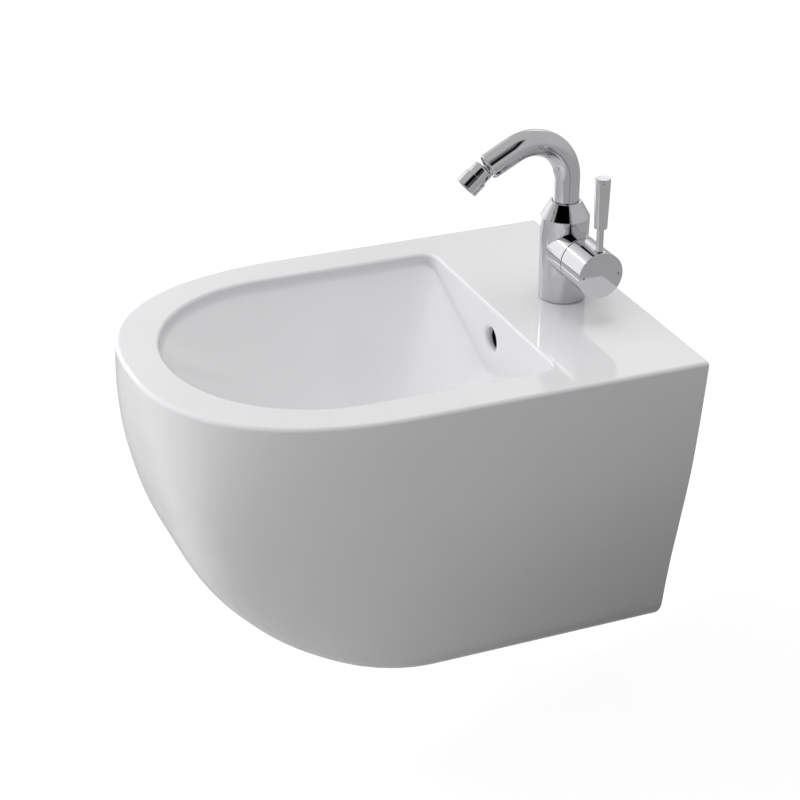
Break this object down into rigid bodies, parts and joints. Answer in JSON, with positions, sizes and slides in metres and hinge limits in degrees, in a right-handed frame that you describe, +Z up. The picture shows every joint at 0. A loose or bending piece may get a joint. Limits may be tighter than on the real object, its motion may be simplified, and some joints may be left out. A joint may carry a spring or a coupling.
{
  "type": "wall-hung bidet",
  "caption": "Wall-hung ceramic bidet with a D-shaped bowl, overflow, pop-up waste, and a lever mixer tap with a swivelling spout and ball-jointed nozzle.",
  "frame": {"origin": "on the wall face, on the centre line, at the height of the wall studs", "axes": "+Z up, +Y into the wall, +X to the user's right when facing the wall, so the bowl reaches out towards -Y"},
  "size_m": [0.359, 0.4847, 0.4764],
  "materials": {
    "glaze": "white gloss glaze",
    "chrome": "polished chrome plate",
    "brass": "machined",
    "steel": "plain zinc-plated",
    "rubber": "matt moulded",
    "white_plastic": "moulded",
    "grey_plastic": "moulded",
    "disc_ceramic": "lapped",
    "blue_enamel": "gloss",
    "red_enamel": "gloss"
  },
  "bodies": {
    "fixture": {"ceramic_body": "glaze", "left_wall_stud": "steel", "left_stud_sleeve": "white_plastic", "left_stud_washer": "steel", "left_stud_nut": "steel", "right_wall_stud": "steel", "right_stud_sleeve": "white_plastic", "right_stud_washer": "steel", "right_stud_nut": "steel", "waste_body": "chrome", "waste_top_seal": "rubber", "waste_lower_seal": "rubber", "waste_lower_washer": "white_plastic", "waste_back_nut": "white_plastic", "plug_latch": "grey_plastic", "tap_body": "chrome", "base_seal": "rubber", "fixing_seal": "rubber", "fixing_plate": "steel", "fixing_stud": "steel", "fixing_nut": "brass", "spout_grub_screw": "steel", "hot_port_seal": "rubber", "cold_port_seal": "rubber", "outlet_port_seal": "rubber", "cartridge_base": "grey_plastic", "cartridge_housing": "white_plastic", "fixed_disc": "disc_ceramic", "cartridge_lock_nut": "brass"},
    "spout": {"spout_tube": "chrome", "spout_lower_oring": "rubber", "spout_upper_oring": "rubber", "spout_bush": "white_plastic", "nozzle_adapter": "brass"},
    "nozzle_seat": {"ball_seat": "white_plastic"},
    "nozzle": {"nozzle_collar": "chrome", "aerator_shell": "chrome", "aerator_washer": "rubber", "aerator_insert": "grey_plastic"},
    "rotor": {"cartridge_rotor": "grey_plastic", "spindle_pin": "steel"},
    "disc_slider": {"moving_disc": "disc_ceramic", "disc_carrier": "grey_plastic"},
    "handle": {"handle_hub": "chrome", "handle_spindle": "brass", "handle_grub_screw": "steel", "cold_mark": "blue_enamel", "hot_mark": "red_enamel", "lever_stem": "chrome", "lever_grip": "chrome"},
    "plug": {"plug_cap": "chrome", "plug_seal": "rubber", "plug_stem": "brass"}
  },
  "joints": [
    {"name": "spout_swivel", "type": "hinge", "parent": "fixture", "child": "spout", "pos_m": [0, -0.058, 0.075], "axis": [0, 0, 1], "range_deg": [-60, 60]},
    {"name": "nozzle_pitch", "type": "hinge", "parent": "spout", "child": "nozzle_seat", "pos_m": [0, -0.14583, 0.21147], "axis": [1, 0, 0], "range_deg": [-32, 4]},
    {"name": "nozzle_yaw", "type": "hinge", "parent": "nozzle_seat", "child": "nozzle", "pos_m": [0, -0.14583, 0.21147], "axis": [0, -0.6704, 0.742], "range_deg": [-12, 12]},
    {"name": "lever_turn", "type": "hinge", "parent": "fixture", "child": "rotor", "pos_m": [0, -0.058, 0.1255], "axis": [1, 0, 0], "range_deg": [-45, 45]},
    {"name": "lever_tilt", "type": "hinge", "parent": "rotor", "child": "handle", "pos_m": [0.018, -0.058, 0.1255], "axis": [0, 1, 0], "range_deg": [0, 25]},
    {"name": "disc_slide", "type": "slide", "parent": "rotor", "child": "disc_slider", "axis": [0, 0, 1], "range_m": [0, 0.004]},
    {"name": "waste_plug", "type": "slide", "parent": "fixture", "child": "plug", "axis": [0, 0, 1], "range_m": [0, 0.008]}
  ],
  "couplings": [
    {"joint": "disc_slide", "follows": "lever_tilt", "m_per_rad": 0.008717}
  ]
}
